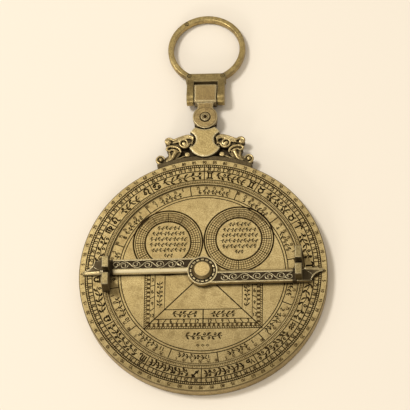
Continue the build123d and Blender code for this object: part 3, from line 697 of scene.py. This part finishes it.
def shadowSquare():
    s = Strokes(calendarZ)
    faint = Strokes(calendarZ)
    q = squareSettings
    outer, hatch, blocks, band, label = (q[k] for k in ("outer", "hatch", "blocks", "band", "label"))
    for half, width in ((outer, 0.5), (hatch, 0.34), (blocks, 0.34), (band, 0.5), (label, 0.5)):
        s.line([(-half, 0), (-half, -half), (half, -half), (half, 0)], width)
    s.line([(-41.4, 0), (41.4, 0)], 0.26)
    s.line([(0, -label), (0, -outer)], 0.6)
    for side in (-1, 1):
        s.line([(0, 0), (side * outer, -outer)], 0.6)

    def place(face, t, reach):  # t from -1 to 1 along the lower side; the sides start from the cross line
        if face == 0:
            return t * reach, -reach
        return face * reach, -reach * (t + 1) / 2

    for face in (0, -1, 1):
        count = 2 * q["parts"] if face == 0 else q["parts"]
        for k in range(2 * count + 1):
            t = -1 + 2 * k / (2 * count)
            faint.line([place(face, t, hatch), place(face, t, outer)], 0.42)
            if k % 6 == 0:
                s.line([place(face, t, band), place(face, t, blocks)], 0.42)
        for k in range(count):
            a, b = -1 + 2 * (k + 0.1) / count, -1 + 2 * (k + 0.62) / count
            middle = (hatch + blocks) / 2
            faint.line([place(face, a, middle), place(face, b, middle)], 1.35, lift=0.004)
        for k in range(count // 3):
            t = -1 + 2 * (k + 0.5) * 3 / count
            x, y = place(face, t, (blocks + band) / 2)
            value = 3 * (k + 1) if k < 4 else 3 * (8 - k)
            s.glyph(numberStrokes(value, 0.7), 0, 90, 1.7, 0.44, x, y - 0.85)
    for side in (-1, 1):
        for stroke, wide in branch(12.4, 3.1, 5, 0.84, 60 + side):
            s.line([(px + side * 9.6 + 0.2 * py, py - 23.4) for px, py in stroke], wide, lift=0.006)
        for stroke, wide in branch(14.0, 2.7, 6, 0.74, 66 + side):
            s.line([(side * 21.9 - side * (py - 1.3), px - 11.2) for px, py in stroke], wide, lift=0.006)
    for stroke, wide in branch(18.5, 3.5, 7, 0.92, 90):
        s.line([(px + 0.2 * py, py - 35.3) for px, py in stroke], wide, lift=0.006)
    diamond = [(0, 0.7), (1.1, 0), (0, -0.7), (-1.1, 0)]
    for dx in (-2.4, 0, 2.4):
        s.line([(x * 0.7 + dx, y * 0.7 - 38.4) for x, y in diamond], 0.44, closed=True)
    for strokes in (s, faint):
        strokes.verts = [(x + q["shift"], y, z) for x, y, z in strokes.verts]
    return s, faint


squareLines, squareParts = shadowSquare()
squareLines.make("shadow_square", engraved)
squareParts.make("square_parts", engravedFaint)
print("calendar plate drawn")


# alidade vine: rounded relief strips on the sunk panel

vineSettings = {"start": 9.2, "end": 45.0, "middle": 3.85, "spirals": 6, "radius": 1.78, "height": 0.45,
                "width": 0.52, "turn": 0.5}


class Relief:  # half-round raised strips
    def __init__(self, z):
        self.z = z
        self.verts = []
        self.faces = []

    def strip(self, points, width, height):
        p = np.asarray(points, float)
        normal = sideVectors(p)
        count = len(p)
        taper = np.minimum(1.0, np.minimum(np.arange(count) + 0.6, count - np.arange(count) - 0.4) / 3.0)
        half = (np.asarray(width, float) / 2 * taper).reshape(-1, 1)
        start = len(self.verts)
        profile = ((-1.0, 0.0), (-0.78, 0.62), (-0.35, 0.94), (0.0, 1.0), (0.35, 0.94), (0.78, 0.62), (1.0, 0.0))
        for i in range(count):
            for side, up in profile:
                q = p[i] + normal[i] * half[i] * side
                self.verts.append((q[0], q[1], self.z + up * height * taper[i]))
        n = len(profile)
        for i in range(count - 1):
            for k in range(n - 1):
                a = start + i * n + k
                self.faces.append((a, a + n, a + n + 1, a + 1))

    def dome(self, x, y, radius, height, rings=3, sides=12):
        start = len(self.verts)
        self.verts.append((x, y, self.z + height))
        for ring in range(1, rings + 1):
            a = ring / rings * math.pi / 2
            for k in range(sides):
                dx, dy = polar(radius * math.sin(a), 360 * k / sides)
                self.verts.append((x + dx, y + dy, self.z + height * math.cos(a)))
        for k in range(sides):
            self.faces.append((start, start + 1 + k, start + 1 + (k + 1) % sides))
        for ring in range(rings - 1):
            for k in range(sides):
                a = start + 1 + ring * sides + k
                b = start + 1 + ring * sides + (k + 1) % sides
                self.faces.append((a, a + sides, b + sides, b))

    def turned(self, degrees):
        c, s = math.cos(math.radians(degrees)), math.sin(math.radians(degrees))
        self.verts = [(x * c - y * s, x * s + y * c, z) for x, y, z in self.verts]
        return self


def vineArm(relief):  # a waving stem with a curl in each of its hollows
    v = vineSettings
    step = (v["end"] - v["start"]) / v["spirals"]
    stem = []
    for i in range(161):
        u = (v["end"] - v["start"]) * i / 160
        stem.append((-v["start"] - u, v["middle"] - 1.72 * math.cos(math.pi * u / step)))
    relief.strip(stem, v["width"], v["height"])
    for k in range(v["spirals"] + 1):
        up = 1 if k % 2 == 0 else -1
        u = min(max(v["start"] + step * k, v["start"] + 1.9), v["end"] - 1.9)
        cx, cy = u + 0.35, v["middle"] + up * 0.2
        curl = []
        for i in range(34):
            t = i / 33
            radius = v["radius"] * (1 - 0.66 * t)
            a = math.radians(215 - 425 * t)
            curl.append((-(cx + radius * 1.2 * math.cos(a)), cy + up * radius * math.sin(a)))
        relief.strip(curl, v["width"] * 0.92, v["height"])
        relief.dome(curl[-1][0], curl[-1][1], 0.42, v["height"])


for side, turn in (("left", 0), ("right", 180)):
    relief = Relief(armTop - 0.52)
    vineArm(relief)
    relief.turned(vineSettings["turn"] + turn)
    makeObject("vine_" + side, relief.verts, relief.faces, vineBrass, "alidade", True)
print("alidade vine made")


# tips of the alidade: a bright raised edge round each sunk face, which is darkened as painted shade

tipSettings = {"edge": -0.5, "start": 50.5, "drop": 1.7, "reach": 10.8}


def tipHeight(x):
    t = tipSettings
    return armTop - t["drop"] * max(0.0, x - t["start"]) / t["reach"]


def tipTrim(relief):
    t = tipSettings
    ogee = [(-(60.5 - 6.5 * math.cos(math.radians(a))), 7.5 - 6.5 * math.sin(math.radians(a)))
            for a in (88, 80, 70, 60, 50, 40, 30, 20, 10)]
    lines = ((ogee, 0.75, 0.3), ([(-60.6 + k * 0.5, t["edge"] + 0.74) for k in range(21)], 1.5, 0.55),
             ([(-50.6, 6.3), (-54.0, 6.35)], 0.6, 0.25), ([(-52.0, 1.4), (-54.2, 2.6), (-55.4, 4.6)], 0.5, 0.22))
    for points, width, height in lines:
        start = len(relief.verts)
        relief.strip(points, width, height)
        for k in range(start, len(relief.verts)):
            x, y, z = relief.verts[k]
            relief.verts[k] = (x, y, z - relief.z + tipHeight(-x) - 0.03)


for side, turn in (("left", 0), ("right", 180)):
    relief = Relief(0)
    tipTrim(relief)
    relief.turned(vineSettings["turn"] + turn)
    makeObject("tip_trim_" + side, relief.verts, relief.faces, vineBrass, "alidade", True)


# throne: cast scrollwork, built from swept stalks over the flat outline and fused

rimTop = discR
scrollSettings = {
    "base": 2.3, "bed": 5.7, "voxel": 0.19,
    "head": ((5.0, 14.4), (7.9, 14.0), (11.0, 13.4), (13.6, 12.7), (15.8, 11.6), (18.2, 11.4), (19.0, 10.4),
             (17.6, 9.8), (15.6, 9.2), (14.6, 8.0), (12.6, 7.4), (10.6, 7.1), (8.2, 7.6), (5.0, 7.8)),
    "jaw": ((14.2, 7.9), (17.3, 8.0), (19.4, 7.6), (19.7, 6.2), (19.0, 4.6), (18.8, 3.2), (20.4, 2.0),
            (22.2, 1.0), (21.6, -1.4), (19.4, -2.1), (17.4, -1.1), (15.8, 0.0), (14.3, 1.6), (13.2, 3.0),
            (12.2, 4.4), (12.9, 6.0)),
    "web": ((5.1, 1.8), (6.0, 6.0), (8.0, 8.4), (13.0, 8.2), (14.6, 5.0), (15.2, 1.6), (15.6, -0.4), (10.0, 1.2)),
    "discs": ((18.7, 10.8, 1.9), (22.4, 0.2, 2.4), (8.9, 2.6, 1.3)),
    "stalks": (
        (((5.6, 12.2), (8.2, 13.5), (11.2, 13.1), (14.0, 12.1), (16.2, 11.4), (17.6, 12.1), (19.0, 12.3),
          (20.1, 11.2), (19.7, 9.9), (18.5, 9.5), (17.9, 10.3), (18.6, 10.9)),
         (1.0, 1.0, 0.9, 0.85, 0.75, 0.75, 0.75, 0.75, 0.7, 0.65, 0.55, 0.5), 6.6),
        (((6.0, 10.6), (7.0, 12.2), (9.4, 12.5), (12.0, 11.6), (14.2, 10.4), (16.4, 9.9)),
         (0.7, 0.6, 0.55, 0.55, 0.5, 0.4), 6.7),
        (((8.0, 9.6), (8.6, 8.0), (10.4, 7.3), (12.3, 8.0), (13.0, 9.7), (12.2, 11.2), (10.6, 11.6), (9.3, 10.7),
          (9.2, 9.4), (10.2, 8.6), (11.3, 9.0), (11.4, 9.9), (10.6, 10.1)),
         (0.6, 0.62, 0.62, 0.6, 0.6, 0.58, 0.55, 0.52, 0.5, 0.5, 0.48, 0.48, 0.5), 6.7),
        (((12.4, 4.4), (13.0, 6.2), (15.0, 7.6), (17.6, 8.0), (19.3, 7.3), (19.5, 6.0), (18.3, 5.6)),
         (0.6, 0.7, 0.75, 0.75, 0.7, 0.6, 0.45), 6.5),
        (((13.6, 4.6), (15.2, 5.8), (17.2, 6.1), (18.4, 5.0)), (0.5, 0.65, 0.6, 0.4), 6.4),
        (((15.0, 5.0), (15.9, 3.2), (16.8, 1.2), (18.4, -0.8), (20.4, -1.9), (22.6, -2.0), (24.3, -0.7), (24.6, 1.1),
          (23.0, 2.5), (21.2, 1.9), (20.6, 0.5)),
         (1.2, 1.15, 1.05, 0.95, 0.85, 0.75, 0.65, 0.6, 0.55, 0.5, 0.4), 6.4),
        (((18.2, 4.6), (17.9, 2.6), (18.6, 0.6), (20.0, -0.4)), (0.5, 0.6, 0.55, 0.4), 6.4),
        (((9.0, 1.9), (10.6, 2.4), (12.4, 1.6), (14.4, 0.8), (16.4, -0.4)), (0.5, 0.5, 0.5, 0.5, 0.45), 5.9),
    ),
    "domes": ((8.9, 2.7, 1.5, 7.0), (6.6, 9.6, 0.95, 6.6), (6.3, 11.3, 0.7, 7.0), (7.0, 7.9, 0.7, 6.3),
              (10.5, 9.5, 0.75, 6.7), (18.7, 10.8, 0.85, 6.8), (22.6, 0.35, 1.15, 6.9), (15.9, 4.2, 0.7, 6.2)),
}


def splinePoint(a, b, c, d, t):
    return 0.5 * (2 * b + (c - a) * t + (2 * a - 5 * b + 4 * c - d) * t * t + (3 * b - a - 3 * c + d) * t ** 3)


def smoothPath(points, radii, steps=5):  # an even spline through the given points
    p = np.asarray(points, float)
    w = np.asarray(radii, float)
    out, size = [], []
    for i in range(len(p) - 1):
        a, b, c, d = p[max(i - 1, 0)], p[i], p[i + 1], p[min(i + 2, len(p) - 1)]
        for k in range(steps):
            t = k / steps
            out.append(splinePoint(a, b, c, d, t))
            size.append(w[i] * (1 - t) + w[i + 1] * t)
    out.append(p[-1])
    size.append(w[-1])
    return np.array(out), np.array(size)


class Sculpt:
    def __init__(self):
        self.verts = []
        self.faces = []

    def prism(self, points, low, high):
        start, n = len(self.verts), len(points)
        self.verts += [(x, y, low) for x, y in points] + [(x, y, high) for x, y in points]
        self.faces.append(tuple(range(start + n - 1, start - 1, -1)))
        self.faces.append(tuple(range(start + n, start + 2 * n)))
        for i in range(n):
            j = (i + 1) % n
            self.faces.append((start + i, start + j, start + n + j, start + n + i))

    def tube(self, points, radii, z, sides=10):
        p, w = smoothPath(points, radii)
        run = np.gradient(p, axis=0)
        run /= np.maximum(np.hypot(run[:, 0], run[:, 1]), 1e-9).reshape(-1, 1)
        start = len(self.verts)
        for i in range(len(p)):
            for k in range(sides):
                side, up = polar(w[i], 360 * k / sides)
                self.verts.append((p[i][0] - run[i][1] * side, p[i][1] + run[i][0] * side, z + up * 1.05))
        for i in range(len(p) - 1):
            for k in range(sides):
                a, b = start + i * sides + k, start + i * sides + (k + 1) % sides
                self.faces.append((a, a + sides, b + sides, b))
        self.faces.append(tuple(start + k for k in range(sides)))
        end = start + (len(p) - 1) * sides
        self.faces.append(tuple(end + k for k in reversed(range(sides))))

    def ball(self, x, y, radius, z, sides=14, rings=7):
        start = len(self.verts)
        for i in range(1, rings):
            a = math.pi * i / rings
            for k in range(sides):
                dx, dy = polar(radius * math.sin(a), 360 * k / sides)
                self.verts.append((x + dx, y + dy, z + radius * math.cos(a) * 0.95))
        self.verts += [(x, y, z + radius * 0.95), (x, y, z - radius * 0.95)]
        top, low = len(self.verts) - 2, len(self.verts) - 1
        for i in range(rings - 2):
            for k in range(sides):
                a, b = start + i * sides + k, start + i * sides + (k + 1) % sides
                self.faces.append((a, a + sides, b + sides, b))
        for k in range(sides):
            self.faces.append((top, start + k, start + (k + 1) % sides))
            last = start + (rings - 2) * sides
            self.faces.append((low, last + (k + 1) % sides, last + k))


def closedPath(points, steps=4):
    p = np.asarray(points, float)
    n = len(p)
    out = []
    for i in range(n):
        a, b, c, d = p[i - 1], p[i], p[(i + 1) % n], p[(i + 2) % n]
        for k in range(steps):
            q = splinePoint(a, b, c, d, k / steps)
            out.append((float(q[0]), float(q[1])))
    return out


def buildScroll(side):
    c = scrollSettings
    sculpt = Sculpt()
    for key, top in (("head", c["bed"]), ("jaw", c["bed"])):
        sculpt.prism(closedPath(c[key])[::-1], c["base"], top)
    # a low backing sheet closes the openings between head, jaw and foot; the castings' painted shade makes it nearly
    # black
    sculpt.prism(closedPath(c["web"], 2)[::-1], c["base"], c["base"] + 0.9)
    for x, y, radius in c["discs"]:
        ring = [(x + polar(radius, 360 * k / 24)[0], y + polar(radius, 360 * k / 24)[1]) for k in range(24)]
        sculpt.prism(ring, c["base"], c["bed"])
    for points, radii, z in c["stalks"]:
        sculpt.tube(points, radii, z)
    for x, y, radius, z in c["domes"]:
        sculpt.ball(x, y, radius, z)
    verts = []
    for x, y, z in sculpt.verts:
        y = y + rimTop
        x = max(x, 5.02)
        reach = math.hypot(x, y)
        limit = rimTop + 2.25
        if reach < limit:  # stays on the foot's rim
            x, y = x * limit / reach, y * limit / reach
        verts.append((side * x, y, min(z, shieldZ - 0.25)))
    faces = sculpt.faces if side > 0 else [tuple(reversed(f)) for f in sculpt.faces]
    piece = makeObject("scrollwork_" + ("right" if side > 0 else "left"), verts, faces, castBrass, "mater", True)
    remesh = piece.modifiers.new("fuse", "REMESH")
    remesh.mode = "VOXEL"
    remesh.voxel_size = c["voxel"] * mm
    remesh.use_smooth_shade = True
    soft = piece.modifiers.new("soften", "SMOOTH")
    soft.factor = 0.5
    soft.iterations = 3
    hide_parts("scroll_right" if side > 0 else "scroll_left")
    bpy.context.view_layer.update()
    shape = piece.evaluated_get(bpy.context.evaluated_depsgraph_get())
    fused = bpy.data.meshes.new_from_object(shape)
    piece.modifiers.clear()
    piece.data = fused
    print("scrollwork", side, "faces", len(fused.polygons))


for side in (-1, 1):
    buildScroll(side)


# small marks on shield, boss and ring

def turningMarks():
    s = Strokes(shieldZ)
    for radius in (1.2, 2.3, 3.6, 5.0, 6.4):
        s.ring(radius, 0.1, cx=0, cy=rimTop + 9.9, step=6)
    return s


turningMarks().make("turning_marks", engravedMaterial("turned", (0.26, 0.175, 0.07), (0.36, 0.26, 0.11)),
                    slot="fitting_brass")
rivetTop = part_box("swivel_rivet")[1].z / mm
linkTop = 8.0  # top of the boss
swivelY = discR + 23.9  # the rivet's axis


def rivetMarks():
    s = Strokes(linkTop)
    s.ring(2.62, 0.6, cy=swivelY, step=10)
    s.ring(5.6, 0.16, cy=swivelY, step=6)
    s.z = rivetTop + 0.012
    s.ring(0.5, 1.0, cy=swivelY, step=20)
    s.ring(1.5, 0.22, cy=swivelY, step=20)
    return s


rivetMarks().make("rivet_marks", engraved, "swivel", "fitting_brass")
ringSettings = {"tilt": 3.89, "pivotY": discR + 35.8, "pivotZ": 5.2, "centre": 29.55, "middle": 18.8, "half": 1.8}


def ringMarks():
    c = ringSettings
    s = Strokes(0)
    left = -10.9
    onHoop = c["centre"] + math.sqrt(c["middle"] ** 2 - left ** 2)
    for x, v, high in ((-8.7, 12.7, 2.0), (8.7, 12.7, 2.0), (left, onHoop, c["half"])):
        s.z = high + 0.015
        s.ring(0.95, 0.42, cx=x, cy=v, step=20)
        s.ring(0.2, 0.3, cx=x, cy=v, step=40)
    lean = math.radians(c["tilt"])
    s.verts = [(x, c["pivotY"] + v * math.cos(lean) + h * math.sin(lean), c["pivotZ"] - v * math.sin(lean)
                + h * math.cos(lean)) for x, v, h in s.verts]
    return s


ringMarks().make("ring_pin_marks", engraved, "ring", "fitting_brass")


# floor, light and camera

cameraSettings = {"turn": -1.05, "place": (88.5, -409.8, 1015.5), "right": (0.99683, 0.03206, -0.07288),
                  "up": (0, 0.9153, 0.4027), "back": (0.0796, -0.4014, 0.9124), "lens": 192.5, "sensor": 36}


def cameraFrame():  # the photo's angle, given about the middle of the disc's face
    turn = math.radians(cameraSettings["turn"])
    c, s = math.cos(turn), math.sin(turn)

    def spin(v):
        return Vector((v[0] * c - v[1] * s, v[0] * s + v[1] * c, v[2]))
    place = spin(cameraSettings["place"]) + Vector((discX, discY, faceZ))
    right, up, back = (spin(cameraSettings[key]) for key in ("right", "up", "back"))
    return place * mm, right, up, back


def makeCamera():
    place, right, up, back = cameraFrame()
    up = back.cross(right).normalized()
    right = up.cross(back).normalized()
    data = bpy.data.cameras.new("camera")
    data.sensor_width = cameraSettings["sensor"]
    data.lens = cameraSettings["lens"]
    data.clip_start = 0.05
    data.clip_end = 20
    camera = bpy.data.objects.new("camera", data)
    bpy.context.scene.collection.objects.link(camera)
    camera.matrix_world = Matrix(((right.x, up.x, back.x, place.x), (right.y, up.y, back.y, place.y),
                                  (right.z, up.z, back.z, place.z), (0, 0, 0, 1)))
    bpy.context.scene.camera = camera


floorSettings = {"colour": (0.885, 0.80, 0.68), "half": 3.0, "drop": 0.0001}


def makeFloor():
    half = floorSettings["half"]
    mesh = bpy.data.meshes.new("floor")
    mesh.from_pydata([(-half, -half, 0), (half, -half, 0), (half, half, 0), (-half, half, 0)], [], [(0, 1, 2, 3)])
    material, tree, shader = newMaterial("paper")
    coords = tree.nodes.new("ShaderNodeTexCoord").outputs["Object"]
    tone = noise(tree, coords, 3.0, 2, 0.5)
    colour = mixColour(tree, tone, floorSettings["colour"], tuple(x * 0.97 for x in floorSettings["colour"]))
    tree.links.new(colour, shader.inputs["Base Color"])
    shader.inputs["Roughness"].default_value = 0.85
    shader.inputs["Specular IOR Level"].default_value = 0.2
    mesh.materials.append(material)
    floor = bpy.data.objects.new("floor", mesh)
    bpy.context.scene.collection.objects.link(floor)
    floor.location = (0, 0, -floorSettings["drop"])


lightSettings = {
    "low": (0.38, 0.345, 0.285), "high": (0.96, 0.90, 0.79), "strength": 0.68,
    "lamps": (("keyLamp", (-0.93, 0.36, 2.0), 0.55, 27.0, (0.98, 0.98, 0.97)),
              ("frontLamp", (-0.5, -1.6, 0.62), 0.5, 7.0, (1.0, 0.98, 0.95))),
}


def areaLamp(name, place, size, power, colour):
    data = bpy.data.lights.new(name, "AREA")
    data.shape = "DISK"
    data.size = size
    data.energy = power
    data.color = colour
    lamp = bpy.data.objects.new(name, data)
    bpy.context.scene.collection.objects.link(lamp)
    lamp.location = place
    lamp.rotation_mode = "QUATERNION"
    lamp.rotation_quaternion = (-Vector(place)).to_track_quat("-Z", "Y")  # aimed at the middle of the part


def makeLight():
    world = bpy.data.worlds.new("studio")
    bpy.context.scene.world = world
    world.use_nodes = True
    back = world.node_tree.nodes["Background"]
    tree = world.node_tree
    coords = tree.nodes.new("ShaderNodeTexCoord").outputs["Generated"]
    split = tree.nodes.new("ShaderNodeSeparateXYZ")
    tree.links.new(coords, split.inputs[0])
    height = smoothBetween(tree, split.outputs[2], -0.1, 0.75)
    colour = mixColour(tree, height, lightSettings["low"], lightSettings["high"])
    tree.links.new(colour, back.inputs["Color"])
    back.inputs["Strength"].default_value = lightSettings["strength"]
    for lamp in lightSettings["lamps"]:
        areaLamp(*lamp)


makeFloor()
makeLight()
makeCamera()
bpy.context.scene.view_settings.view_transform = "Standard"
print("stage set")
